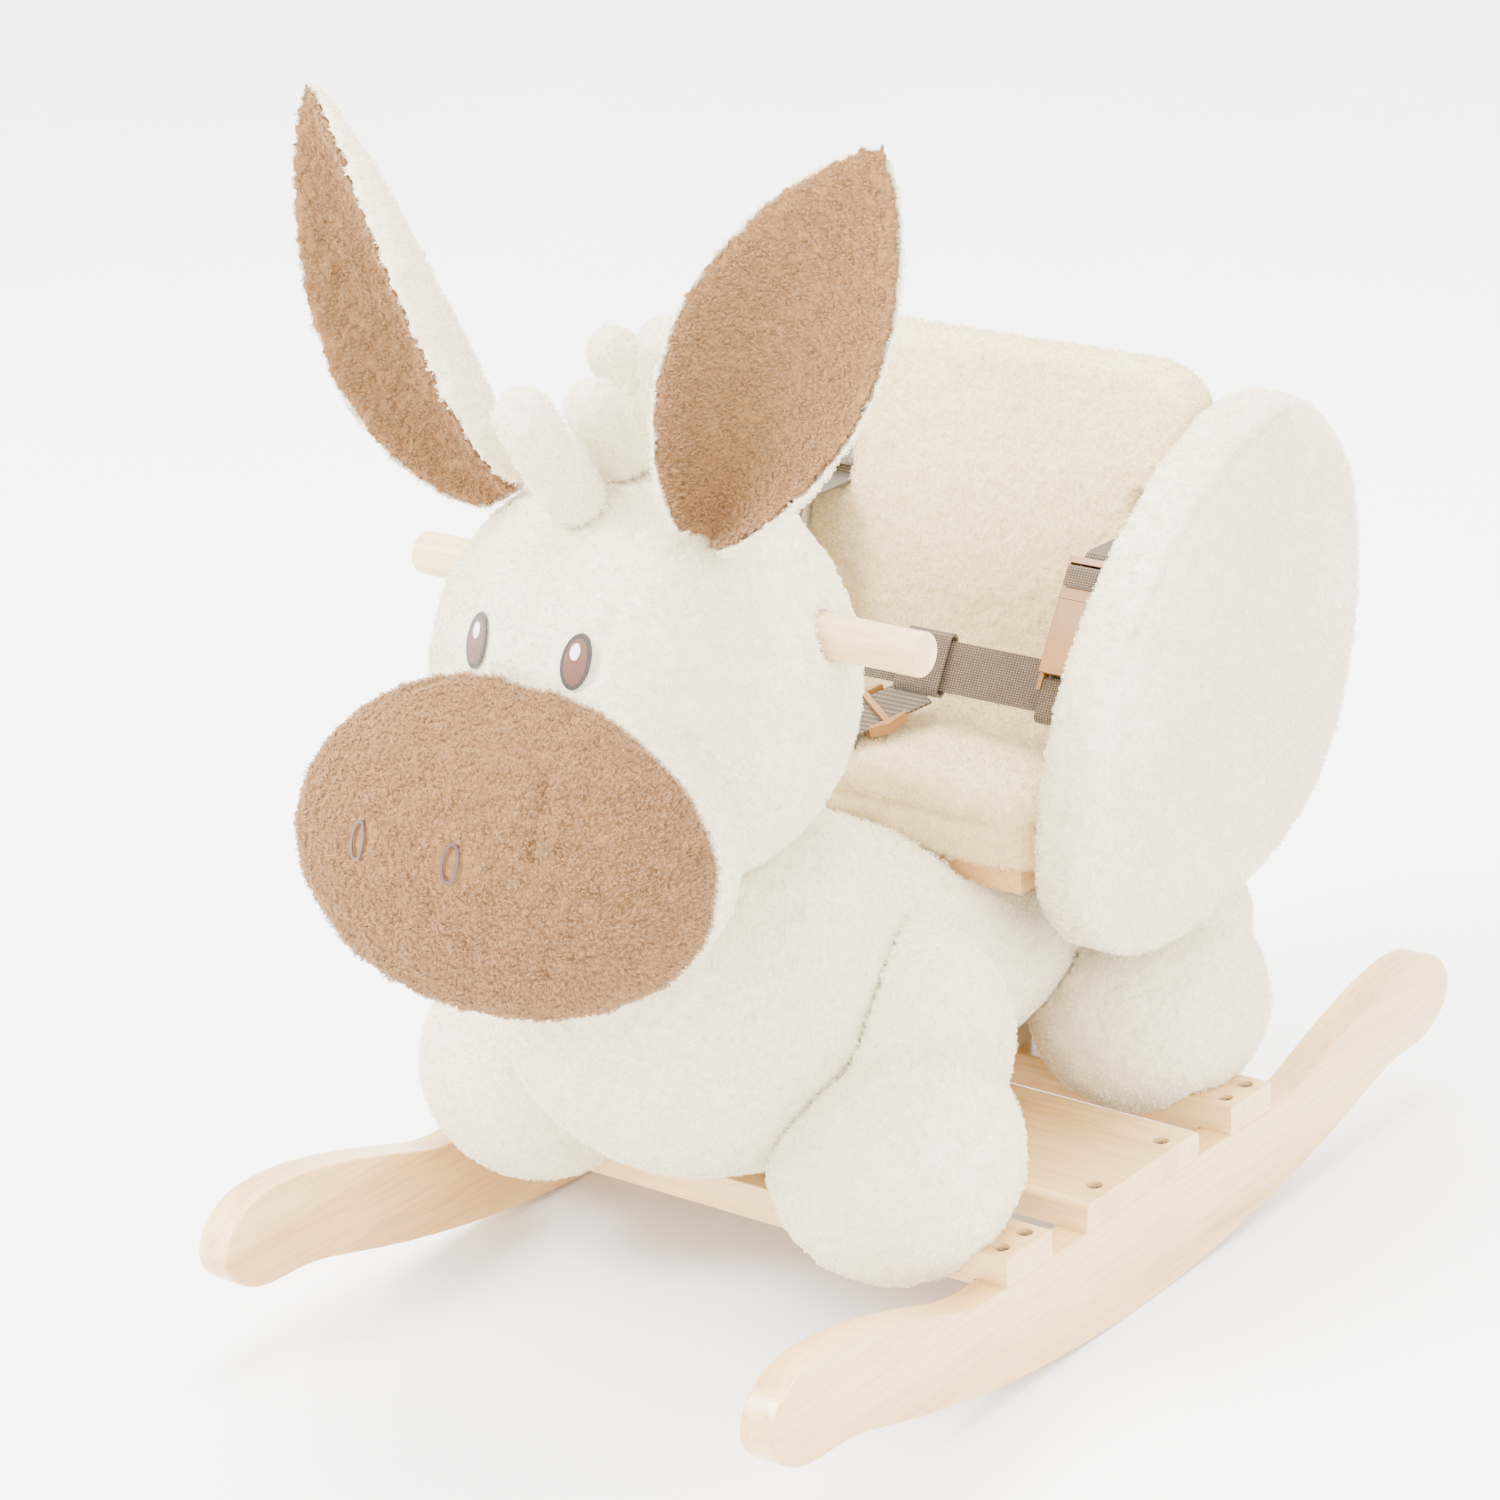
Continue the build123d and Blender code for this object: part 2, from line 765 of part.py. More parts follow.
def eye_embroidery():
    """The two embroidered eyes."""
    iris = Ellipse(eye_half_width, eye_half_height)
    in_front = head_centre[1] - 1.1 * head_radii[1]
    place = Plane(origin=(eye_x, in_front, eye_z), x_dir=(1, 0, 0), z_dir=(0, 1, 0))
    left = raised_patch(head_centre, head_radii, place, iris)
    return [left, mirror(left, about=Plane.YZ)]


def nostril_embroidery():
    """The two embroidered nostril outlines."""
    loop = Ellipse(nostril_half_width, nostril_half_height)
    loop -= Ellipse(nostril_half_width - nostril_thread, nostril_half_height - nostril_thread)
    place = Plane(
        origin=(nostril_x, muzzle_centre[1] - 1.1 * muzzle_radii[1], nostril_z),
        x_dir=(1, 0, 0),
        z_dir=(0, 1, 0),
    )
    left = raised_patch(muzzle_centre, muzzle_radii, place, loop)
    return [left, mirror(left, about=Plane.YZ)]


# ---- harness ----
def harness_plane(x=0.0, up=0.0, out=0.0):
    """The plane in which the belt and the buckle lie: up its slope, out towards the child."""
    lean = radians(harness_lean)
    y = harness_origin[1] + up * sin(lean) - out * cos(lean)
    z = harness_origin[2] + up * cos(lean) + out * sin(lean)
    return Plane(origin=(x, y, z), x_dir=(1, 0, 0), z_dir=(0, -cos(lean), sin(lean)))


def crotch_slot(gap):
    """The upright slot through the cushion and the seat board."""
    x, y, _ = crotch_foot
    wide = webbing_width / 2 + gap
    deep = webbing_thickness / 2 + gap
    return block(x - wide, x + wide, y - deep, y + deep, seat_board_bottom - 1, seat_height + 1)


def strap_run():
    """The crotch strap's sloping run: its start, its end and the plane that it lies in."""
    start = Vector(*crotch_foot)
    end = harness_plane(crotch_top_x, -15.0, 0.0).origin
    slope = end - start
    normal = Vector(0, -slope.Z, slope.Y)
    middle = (start + end) * 0.5
    return start, end, Plane(origin=middle, x_dir=slope.cross(normal), z_dir=normal)


def crotch_strap():
    """The crotch strap: up through the seat, along a slope, and round the belt as a loop."""
    start, end, slope_plane = strap_run()
    x, y, z = crotch_foot
    half = webbing_width / 2
    thick = webbing_thickness
    upright = block(x - half, x + half, y - thick / 2, y + thick / 2, seat_board_bottom - thick, z)
    foot = block(
        x - half,
        x + half,
        y - thick / 2,
        y + 1.5 * crotch_anchor_setback,
        seat_board_bottom - thick,
        seat_board_bottom,
    )
    run = slope_plane * Box(webbing_width, (end - start).length + 4, thick)
    run -= harness_plane() * block(-50, 50, -13, 13, -3, 2)
    ring_side = SlotOverall(loop_length, loop_depth)
    ring_side -= SlotOverall(loop_length - 2 * thick, loop_depth - 2 * thick)
    ring = extrude(strap_frame(crotch_top_x) * ring_side, webbing_width)
    return with_anchor_holes(upright + foot + run + ring)


def triglide():
    """The plastic slide on the crotch strap: two end bars below the strap, a middle bar above."""
    half_x, half_y, bar = slide_half_width, slide_half_height, slide_bar
    end_x = half_x - bar
    outline = Polygon(
        (-half_x, 0),
        (-end_x, half_y),
        (end_x, half_y),
        (half_x, 0),
        (end_x, -half_y),
        (-end_x, -half_y),
    )
    window = Rectangle(webbing_width + 2, 4 * half_y)
    slide = extrude(outline - window, slide_far, both=True)
    slide += block(-end_x, end_x, -half_y, bar - half_y, -slide_far, -slide_near)
    slide += block(-end_x, end_x, half_y - bar, half_y, -slide_far, -slide_near)
    slide += block(1 - half_x, half_x - 1, -bar / 2, bar / 2, slide_near, slide_far)
    return strap_run()[2] * slide


def strap_frame(x_mid):
    """The side view of a strap on the harness plane: up its slope, then out towards the child."""
    plane = harness_plane(x_mid - webbing_width / 2, 0, 0)
    return Plane(origin=plane.origin, x_dir=plane.y_dir, z_dir=(1, 0, 0))


def strap(x_mid, path, radii):
    """A length of webbing, its path given in the side view."""
    face = ribbon_face(path, radii, webbing_thickness)
    return extrude(strap_frame(x_mid) * face, webbing_width)


def anchor_run():
    """The end of a waist strap: up its slope, back to the backrest board and up its face."""
    on_board = []
    for along in (134.7, anchor_along + 5.5):
        spot = back_place(0, along, -webbing_thickness / 2).position
        local = harness_plane().to_local_coords(spot)
        on_board.append((local.Y, local.Z))
    return [(66.0, strap_mid)] + on_board


def waist_strap():
    """The belt: through the crotch loop, folded down to the buckle and, on the right, up and back."""
    half = webbing_width / 2
    reach = buckle_x + half
    belt = harness_plane() * block(-reach, reach, -half, half, -webbing_thickness, 0)
    under, over = strap_mid, 6.7
    behind_bar = 2.9
    tail_path = [
        (half, under),
        (-17.5, under),
        (-17.5, over),
        (3.2, over),
        (3.2, behind_bar),
        (-10, behind_bar),
    ]
    tail = strap(buckle_x, tail_path, [2.9, 2.9, 1.8, 1.8])
    anchored = strap(-buckle_x, [(-half, strap_mid)] + anchor_run(), [6.0, 3.0])
    webbing = belt + tail + anchored
    return with_anchor_holes(webbing)


def anchor_strap():
    """The left strap: from the plug's bar up its slope and back to the backrest board."""
    front = buckle_back + buckle_thickness + webbing_thickness
    path = [(47.0, front), (57.0, front), (57.0, strap_mid)] + anchor_run()
    webbing = strap(buckle_x, path, [2.0, 2.0, 6.0, 3.0])
    return with_anchor_holes(webbing)


def anchor_places():
    """Where the straps are fixed: twice on the backrest board and once under the seat board."""
    x, y, _ = crotch_foot
    on_back = [back_place(s * buckle_x, anchor_along, 0) * Rot(90, 0, 0) for s in (-1, 1)]
    return on_back + [Pos(x, y + crotch_anchor_setback, seat_board_bottom) * Rot(180, 0, 0)]


def anchor_screw_places():
    """The two screws of each anchor."""
    offsets = (-anchor_screw_offset, anchor_screw_offset)
    return [place * Pos(x, 0, 0) for place in anchor_places() for x in offsets]


def with_anchor_holes(shape):
    """The shape with the holes that the anchor screws go through."""
    for place in anchor_screw_places():
        shape -= place * Cylinder(anchor_screw_radius, 2 * plywood)
    return shape


def anchor_plates():
    """The steel plates that clamp the strap ends."""
    height = webbing_thickness + anchor_plate_thickness / 2
    plate = Pos(0, 0, height) * Box(
        anchor_plate_width, anchor_plate_height, anchor_plate_thickness
    )
    return [with_anchor_holes(place * plate) for place in anchor_places()]


def anchor_screws():
    """The short screws through the anchor plates."""
    top = webbing_thickness + anchor_plate_thickness
    shank = Pos(0, 0, (top - anchor_screw_length) / 2) * Cylinder(
        anchor_screw_radius, anchor_screw_length + top
    )
    pan_head = Pos(0, 0, top + anchor_head_height / 2) * Cylinder(
        anchor_head_radius, anchor_head_height
    )
    return [place * (shank + pan_head) for place in anchor_screw_places()]


def strap_pocket(side):
    """The slit in the backrest pad that lets a strap through to its anchor."""
    return back_place(side * buckle_x, anchor_along - 2, -back_pad_front / 2) * Box(
        pocket_width, back_pad_front + 4, pocket_height
    )


def buckle_socket():
    """The half of the buckle that the belt hangs from: a flat box open at its top end."""
    half = buckle_width / 2
    back, front = buckle_back, buckle_back + buckle_thickness
    body = block(-half, half, 5.2, socket_top, back, front)
    body = fillet(body.edges().filter_by(Axis.Y), buckle_edge_round)
    inner = half - buckle_wall
    body -= block(-inner, inner, 8, socket_top + 1, back + 1.6, front - 1.6)
    body -= block(-half - 1, half + 1, 18, 32, back + 2.4, front - 2.4)
    arms = block(-half, half, socket_bottom, 5.2, 3.0, 8.0)
    arms -= block(2.2 - half, half - 2.2, socket_bottom - 1, 6.2, 2, 9)
    bar = block(-half, half, -2.0, 1.8, 3.8, 5.8)
    return harness_plane(buckle_x) * (body + arms + bar)


def buckle_plug():
    """The half with the prongs: a grip with a slot for its strap, two arms and a guide tongue."""
    half = buckle_width / 2
    back, front = buckle_back, buckle_back + buckle_thickness
    low = socket_top + fit_gap
    grip = block(-half, half, low, plug_top, back, front)
    grip = fillet(grip.edges().filter_by(Axis.Y), buckle_edge_round)
    grip -= block(-half + 2, half - 2, 55, 59, back - 1, front + 1)
    inner = half - buckle_wall - fit_gap
    arm_back, arm_front = back + 2.0, front - 2.0
    arm = block(inner - 3.4, inner, low - prong_reach, low, arm_back, arm_front)
    tongue = block(-2.2, 2.2, low - 0.75 * prong_reach, low, arm_back, arm_front)
    return harness_plane(buckle_x) * (grip + arm + mirror(arm, about=Plane.YZ) + tongue)


# ---- output ----
def only_solid(shape):
    """The single solid inside a shape."""
    return shape.solids()[0]


def save(name, *solids):
    """Write one node: a single solid, or a group of separate ones."""
    if len(solids) == 1:
        export_step(solids[0], f"parts/{name}.step")
    else:
        export_step(Compound(children=[Solid(s.wrapped) for s in solids]), f"parts/{name}.step")


def save_pair(name, left):
    """Write a left piece and its mirror image."""
    save(name + "_left", left)
    save(name + "_right", mirror(left, about=Plane.YZ))


def main():
    os.makedirs("parts", exist_ok=True)
    save_pair("runner", runner())
    save("slat_front", slat(-1))
    save("slat_rear", slat(1))
    save("middle_board", middle_board())
    save("deck_screws", *[only_solid(s) for s in deck_screws()])
    save("frame_screws", *[only_solid(p * screw(frame_screw_length)) for p in frame_screw_places()])
    save_pair("side_rail", side_rail())
    save("panel_front", cross_panel(-1))
    save("panel_rear", cross_panel(1))
    save("neck_post", neck_post())
    save("neck_bolts", *[only_solid(s) for s in neck_bolts()])
    save("handle_dowel", handle_dowel())
    save("handle_pin", handle_pin())
    save("seat_board", seat_board())
    save("backrest_board", backrest_board())
    save("back_screws", *[only_solid(p * screw(back_screw_length)) for p in back_screw_places()])
    save_pair("wing_board", wing_board())
    wing_screws = [p * screw(wing_screw_length) for p in wing_screw_places()]
    wing_screws += [mirror(s, about=Plane.YZ) for s in wing_screws]
    save("wing_screws", *[only_solid(s) for s in wing_screws])
    save_pair("wing_pad", wing_pad())
    save("backrest_pad", backrest_pad())
    save("seat_cushion", seat_cushion())
    save("torso_plush", largest(torso_plush()))
    save("head_plush", largest(head_plush()))
    save("muzzle_plush", largest(muzzle_plush()))
    save_pair("leg_front", largest(front_leg()))
    save_pair("leg_rear", largest(hind_leg()))
    save("base_skirt", base_skirt())
    left_place = ear_place(left_ear_root, left_ear_turn, left_ear_lean)
    right_place = ear_place(right_ear_root, right_ear_turn, right_ear_lean)
    left_lining, left_back = ear(left_place, left_ear_cup, left_ear_half_width)
    right_lining, right_back = ear(right_place, right_ear_cup, right_ear_half_width)
    save("ear_left_lining", left_lining)
    save("ear_left_back", left_back)
    save("ear_right_lining", right_lining)
    save("ear_right_back", right_back)
    save("mane_tuft_front", mane_tuft(front_tuft))
    save("mane_tuft_middle", mane_tuft(middle_tuft))
    save("mane_tuft_rear", mane_tuft(rear_tuft))
    save("eye_embroidery", *eye_embroidery())
    save("nostril_embroidery", *nostril_embroidery())
    save("crotch_strap", crotch_strap())
    save("triglide", triglide())
    save("waist_strap", waist_strap())
    save("anchor_strap", anchor_strap())
    save("buckle_socket", buckle_socket())
    save("buckle_plug", buckle_plug())
    save("anchor_plates", *[only_solid(s) for s in anchor_plates()])
    save("anchor_screws", *[only_solid(s) for s in anchor_screws()])


main()
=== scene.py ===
from math import cos, exp, pi, radians, sin

import bmesh
import bpy
from mathutils import Matrix, Vector


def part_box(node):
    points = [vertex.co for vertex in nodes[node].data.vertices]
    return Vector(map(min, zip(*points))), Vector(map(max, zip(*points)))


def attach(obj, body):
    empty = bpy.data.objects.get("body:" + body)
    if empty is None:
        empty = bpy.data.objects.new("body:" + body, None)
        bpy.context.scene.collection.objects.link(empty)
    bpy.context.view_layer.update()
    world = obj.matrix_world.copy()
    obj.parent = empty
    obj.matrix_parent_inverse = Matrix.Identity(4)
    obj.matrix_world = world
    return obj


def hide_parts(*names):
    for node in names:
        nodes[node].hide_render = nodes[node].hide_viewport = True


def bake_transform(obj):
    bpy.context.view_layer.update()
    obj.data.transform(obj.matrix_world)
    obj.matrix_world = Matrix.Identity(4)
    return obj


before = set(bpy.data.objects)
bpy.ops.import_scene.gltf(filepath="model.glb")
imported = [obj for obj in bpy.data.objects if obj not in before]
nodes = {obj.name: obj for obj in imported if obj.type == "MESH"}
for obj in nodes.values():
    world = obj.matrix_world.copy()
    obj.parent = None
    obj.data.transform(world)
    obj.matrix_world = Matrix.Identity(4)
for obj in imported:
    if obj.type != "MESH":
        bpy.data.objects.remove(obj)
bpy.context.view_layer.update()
MM = 0.001


# ---- shader helpers ----
def srgb(red, green, blue):
    """A linear colour from 0-255 screen values."""
    def linear(value):
        value /= 255
        return value / 12.92 if value <= 0.04045 else ((value + 0.055) / 1.055) ** 2.4

    return linear(red), linear(green), linear(blue), 1.0


class Shader:
    """A node material built one node at a time."""

    def __init__(self, name, roughness, **inputs):
        self.material = bpy.data.materials.new(name)
        self.material.use_nodes = True
        self.tree = self.material.node_tree
        self.surface = self.tree.nodes["Principled BSDF"]
        self.set("Roughness", roughness)
        for key, value in inputs.items():
            self.set(key.replace("_", " "), value)
        self.place = self.node("ShaderNodeTexCoord").outputs["Object"]

    def set(self, socket, value):
        self.surface.inputs[socket].default_value = value

    def node(self, kind, **settings):
        made = self.tree.nodes.new(kind)
        for key, value in settings.items():
            setattr(made, key, value)
        return made

    def link(self, out, socket):
        self.tree.links.new(out, socket)

    def mapped(self, scale, turn=(0, 0, 0)):
        mapping = self.node("ShaderNodeMapping")
        mapping.inputs["Scale"].default_value = scale
        mapping.inputs["Rotation"].default_value = turn
        self.link(self.place, mapping.inputs["Vector"])
        return mapping.outputs["Vector"]

    def noise(self, scale, detail=3.0, place=None, distortion=0.0):
        made = self.node("ShaderNodeTexNoise")
        made.inputs["Scale"].default_value = scale
        made.inputs["Detail"].default_value = detail
        made.inputs["Distortion"].default_value = distortion
        self.link(place or self.place, made.inputs["Vector"])
        return made.outputs["Fac"]

    def wave(self, scale, direction, place=None, distortion=0.0):
        made = self.node("ShaderNodeTexWave", bands_direction=direction)
        made.inputs["Scale"].default_value = scale
        made.inputs["Distortion"].default_value = distortion
        self.link(place or self.place, made.inputs["Vector"])
        return made.outputs["Fac"]

    def cells(self, scale, place=None):
        made = self.node("ShaderNodeTexVoronoi")
        made.inputs["Scale"].default_value = scale
        self.link(place or self.place, made.inputs["Vector"])
        return made.outputs["Distance"]

    def ramp(self, factor, stops):
        made = self.node("ShaderNodeValToRGB")
        elements = made.color_ramp.elements
        while len(elements) < len(stops):
            elements.new(0.5)
        for element, (position, colour) in zip(elements, stops):
            element.position = position
            element.color = colour
        self.link(factor, made.inputs["Fac"])
        return made.outputs["Color"]

    def mix(self, factor, first, second, blend="MIX"):
        made = self.node("ShaderNodeMix", data_type="RGBA", blend_type=blend)
        if isinstance(factor, float):
            made.inputs["Factor"].default_value = factor
        else:
            self.link(factor, made.inputs["Factor"])
        sockets = [s for s in made.inputs if s.type == "RGBA"]
        for socket, value in zip(sockets, (first, second)):
            if isinstance(value, tuple):
                socket.default_value = value
            else:
                self.link(value, socket)
        return [o for o in made.outputs if o.type == "RGBA"][0]

    def math(self, operation, first, second=0.0):
        made = self.node("ShaderNodeMath", operation=operation)
        for socket, value in zip(made.inputs, (first, second)):
            if isinstance(value, (int, float)):
                socket.default_value = value
            else:
                self.link(value, socket)
        return made.outputs["Value"]

    def colour(self, out):
        self.link(out, self.surface.inputs["Base Color"])

    def rough(self, factor, low, high):
        span = self.node("ShaderNodeMapRange")
        span.inputs["To Min"].default_value = low
        span.inputs["To Max"].default_value = high
        self.link(factor, span.inputs["Value"])
        self.link(span.outputs["Result"], self.surface.inputs["Roughness"])

    def bump(self, height, distance, strength=1.0):
        made = self.node("ShaderNodeBump")
        made.inputs["Distance"].default_value = distance
        made.inputs["Strength"].default_value = strength
        self.link(height, made.inputs["Height"])
        self.link(made.outputs["Normal"], self.surface.inputs["Normal"])


# ---- materials ----
def wood(name, light, dark, grain_axis, roughness, coat):
    """Straight-grained wood: fine pores and slow bands drawn out along one axis."""
    shader = Shader(name, roughness, Coat_Weight=coat, Coat_Roughness=0.12)
    stretch = {"X": (0.06, 1, 1), "Y": (1, 0.06, 1), "Z": (1, 1, 0.06)}[grain_axis]
    along = shader.mapped(stretch)
    bands = shader.noise(26, 2, along, 0.6)
    pores = shader.noise(420, 4, along)
    fibre = shader.noise(1400, 2, along)
    broad = shader.ramp(bands, [(0.34, dark), (0.62, light)])
    fine = shader.ramp(pores, [(0.38, srgb(196, 170, 132)), (0.55, srgb(255, 255, 255))])
    shader.colour(shader.mix(0.28, broad, fine, "MULTIPLY"))
    shader.rough(pores, roughness - 0.06, roughness + 0.12)
    shader.bump(fibre, 0.05 * MM, 0.5)
    return shader.material


def plush(name, light, shade, gap, clump):
    """Pile cloth: tufts of lighter tips over painted shade in the gaps, with fine fibres as bump."""
    shader = Shader(name, 0.92, Sheen_Weight=0.2, Sheen_Roughness=0.5)
    shader.set("Sheen Tint", light)
    tufts = shader.cells(1 / clump)
    fibres = shader.noise(1 / (0.22 * clump), 5, None, 1.2)
    patches = shader.noise(9, 3)
    # painted shade: the fibre noise falls to the gap colour, shade painted deep in the pile
    tips = shader.ramp(fibres, [(0.32, gap), (0.5, shade), (0.66, light)])
    # painted shade: each tuft goes from its light colour in the middle to the shade colour at its edges
    body = shader.ramp(tufts, [(0.1, light), (0.75, shade)])
    cloth = shader.mix(0.55, body, tips)
    tone = shader.ramp(patches, [(0.35, srgb(244, 240, 232)), (0.65, srgb(255, 255, 255))])
    shader.colour(shader.mix(1.0, cloth, tone, "MULTIPLY"))
    shader.bump(shader.math("ADD", fibres, shader.math("MULTIPLY", tufts, -0.6)), 0.9 * MM, 0.7)
    return shader.material


def strand(name, root, tip):
    """A single fibre of the pile, darker at its root as painted shade deep in the pile, and a little different from
    its neighbours.
    """
    shader = Shader(name, 0.75, Sheen_Weight=0.2)
    hair = shader.node("ShaderNodeHairInfo")
    # painted shade: the root colour stands for shade among the fibres
    along = shader.ramp(hair.outputs["Intercept"], [(0.0, root), (0.55, tip)])
    own = shader.ramp(hair.outputs["Random"], [(0.0, srgb(226, 220, 210)), (1.0, srgb(255, 255, 255))])
    shader.colour(shader.mix(1.0, along, own, "MULTIPLY"))
    return shader.material


def webbing(name):
    """Ribbed khaki webbing: cross ribs over a fine lengthwise weave, with painted shade in its hollows."""
    shader = Shader(name, 0.8, Sheen_Weight=0.25)
    ribs = shader.wave(210, "X", shader.mapped((1, 1, 1)), 0.4)
    weft = shader.wave(300, "Z", shader.mapped((1, 1, 1)), 0.4)
    weave = shader.math("MULTIPLY", ribs, weft)
    # khaki colour with painted shade: darkest where the weave lies lowest
    khaki_with_weave_shade = shader.ramp(weave, [(0.0, srgb(60, 44, 24)), (0.5, srgb(106, 84, 52)), (1.0, srgb(142, 118, 80))])
    worn = shader.ramp(shader.noise(60, 3), [(0.35, srgb(225, 220, 205)), (0.65, srgb(255, 255, 255))])
    shader.colour(shader.mix(1.0, khaki_with_weave_shade, worn, "MULTIPLY"))
    shader.bump(weave, 0.5 * MM)
    return shader.material


def moulded(name, light, dark):
    """Moulded plastic with a faint texture."""
    shader = Shader(name, 0.38)
    cloud = shader.noise(70, 3)
    shader.colour(shader.ramp(cloud, [(0.3, dark), (0.7, light)]))
    shader.rough(cloud, 0.3, 0.45)
    shader.bump(shader.noise(1800, 2), 0.03 * MM, 0.4)
    return shader.material


def steel(name):
    """Zinc-plated steel, turned and slightly dulled."""
    shader = Shader(name, 0.35, Metallic=1.0)
    cloud = shader.noise(500, 4)
    shader.colour(shader.ramp(cloud, [(0.3, srgb(120, 116, 108)), (0.7, srgb(186, 182, 172))]))
    shader.rough(cloud, 0.28, 0.5)
    shader.bump(shader.noise(2500, 2), 0.02 * MM, 0.4)
    return shader.material


def cotton(name):
    """Plain woven cotton, with painted shade in the hollows of the weave."""
    shader = Shader(name, 0.9, Sheen_Weight=0.2)
    weave = shader.math("MULTIPLY", shader.wave(600, "X"), shader.wave(600, "Z"))
    # painted shade: darker where the weave lies lowest
    shader.colour(shader.ramp(weave, [(0.0, srgb(222, 200, 156)), (1.0, srgb(246, 232, 198))]))
    shader.bump(weave, 0.2 * MM)
    return shader.material


# each pile set: light colour, painted shade, and darker painted shade for the gaps between tufts
CREAM = (srgb(251, 244, 222), srgb(242, 230, 198), srgb(208, 186, 142))
WARM = (srgb(250, 234, 192), srgb(238, 214, 160), srgb(200, 166, 108))
BROWN = (srgb(158, 116, 68), srgb(118, 80, 40), srgb(62, 38, 14))
cream_cloth = plush("cream_plush_cloth", *CREAM, 3.4 * MM)
warm_cloth = plush("warm_plush_cloth", *WARM, 3.4 * MM)
brown_cloth = plush("brown_plush_cloth", *BROWN, 4.5 * MM)
cream_fibre = strand("cream_fibre", srgb(238, 224, 188), srgb(253, 248, 230))
warm_fibre = strand("warm_fibre", srgb(232, 206, 152), srgb(252, 240, 206))
brown_fibre = strand("brown_fibre", srgb(80, 52, 20), srgb(172, 130, 80))
varnish_y = wood("varnished_wood_y", srgb(228, 190, 126), srgb(206, 158, 94), "Y", 0.3, 0.35)
varnish_x = wood("varnished_wood_x", srgb(232, 196, 134), srgb(210, 164, 102), "X", 0.32, 0.3)
beech_x = wood("beech_x", srgb(230, 200, 148), srgb(212, 174, 120), "X", 0.55, 0.0)
beech_z = wood("beech_z", srgb(236, 198, 152), srgb(218, 172, 124), "Z", 0.55, 0.0)
plywood_y = wood("plywood_y", srgb(220, 176, 118), srgb(196, 146, 90), "Y", 0.6, 0.0)
strap_cloth = webbing("khaki_webbing")
tan_plastic = moulded("tan_plastic", srgb(150, 104, 50), srgb(130, 86, 38))
plated_steel = steel("plated_steel")
skirt_cloth = cotton("skirt_cotton")


# ---- frame nodes that keep their shape ----
def dress(material, *names):
    for name in names:
        mesh = nodes[name].data
        mesh.materials.clear()
        mesh.materials.append(material)


dress(varnish_y, "runner_left", "runner_right")
dress(varnish_x, "slat_front", "slat_rear", "middle_board")
dress(beech_x, "handle_dowel")
dress(beech_z, "neck_post", "panel_front", "panel_rear")
dress(plywood_y, "side_rail_left", "side_rail_right", "seat_board", "backrest_board")
dress(plywood_y, "wing_board_left", "wing_board_right")
dress(plated_steel, "deck_screws", "frame_screws", "back_screws", "wing_screws", "neck_bolts")
dress(plated_steel, "handle_pin", "anchor_plates", "anchor_screws")
dress(strap_cloth, "crotch_strap", "waist_strap")
dress(tan_plastic, "triglide", "buckle_socket", "buckle_plug")
dress(skirt_cloth, "base_skirt")


# ---- soft pieces ----
CHILDREN = 6
LEAN_OF_FIBRES = 0.08
coats = []


def piece(name, mesh, material):
    made = bpy.data.objects.new(name, mesh)
    bpy.context.scene.collection.objects.link(made)
    mesh.materials.clear()
    mesh.materials.append(material)
    return made


def copied(name, material, *node_names):
    """A new piece from the meshes of one or more frame nodes."""
    joined = bmesh.new()
    for node_name in node_names:
        joined.from_mesh(nodes[node_name].data)
    mesh = bpy.data.meshes.new(name)
    joined.to_mesh(mesh)
    joined.free()
    return piece(name, mesh, material)


def bake_modifiers(obj):
    """Turn the modified shape into the piece's own mesh."""
    graph = bpy.context.evaluated_depsgraph_get()
    mesh = bpy.data.meshes.new_from_object(obj.evaluated_get(graph))
    obj.modifiers.clear()
    obj.data = mesh


def remesh(obj, size):
    """An even skin of quads over the whole piece, with inner walls and slits closed."""
    modifier = obj.modifiers.new("skin", "REMESH")
    modifier.mode = "VOXEL"
    modifier.voxel_size = size
    bake_modifiers(obj)
    keep_outer_shell(obj)


def keep_outer_shell(obj):
    """Drop every loose shell but the largest."""
    mesh = bmesh.new()
    mesh.from_mesh(obj.data)
    unseen = set(mesh.verts)
    shells = []
    while unseen:
        edge = [unseen.pop()]
        shell = set(edge)
        while edge:
            vertex = edge.pop()
            for link in vertex.link_edges:
                other = link.other_vert(vertex)
                if other in unseen:
                    unseen.discard(other)
                    shell.add(other)
                    edge.append(other)
        shells.append(shell)
    largest = max(shells, key=len)
    bmesh.ops.delete(mesh, geom=[v for v in mesh.verts if v not in largest], context="VERTS")
    mesh.to_mesh(obj.data)
    mesh.free()


def smooth(obj, passes, factor=0.5):
    modifier = obj.modifiers.new("smooth", "SMOOTH")
    modifier.iterations = passes
    modifier.factor = factor
    bake_modifiers(obj)


def fill_out(obj, cap):
    """Stuffing under the cover: fullest in the middle of each broad side, nothing at the edges."""
    corners = [Vector(corner) for corner in obj.bound_box]
    middle = (corners[0] + corners[6]) / 2
    half = (corners[6] - corners[0]) / 2
    thin = min(range(3), key=lambda axis: half[axis])
    normals = [vertex.normal.copy() for vertex in obj.data.vertices]
    for vertex, normal in zip(obj.data.vertices, normals):
        share = 1.0
        for axis in range(3):
            if axis != thin:
                share *= max(0.0, 1 - ((vertex.co[axis] - middle[axis]) / half[axis]) ** 2)
        vertex.co += normal * cap * share


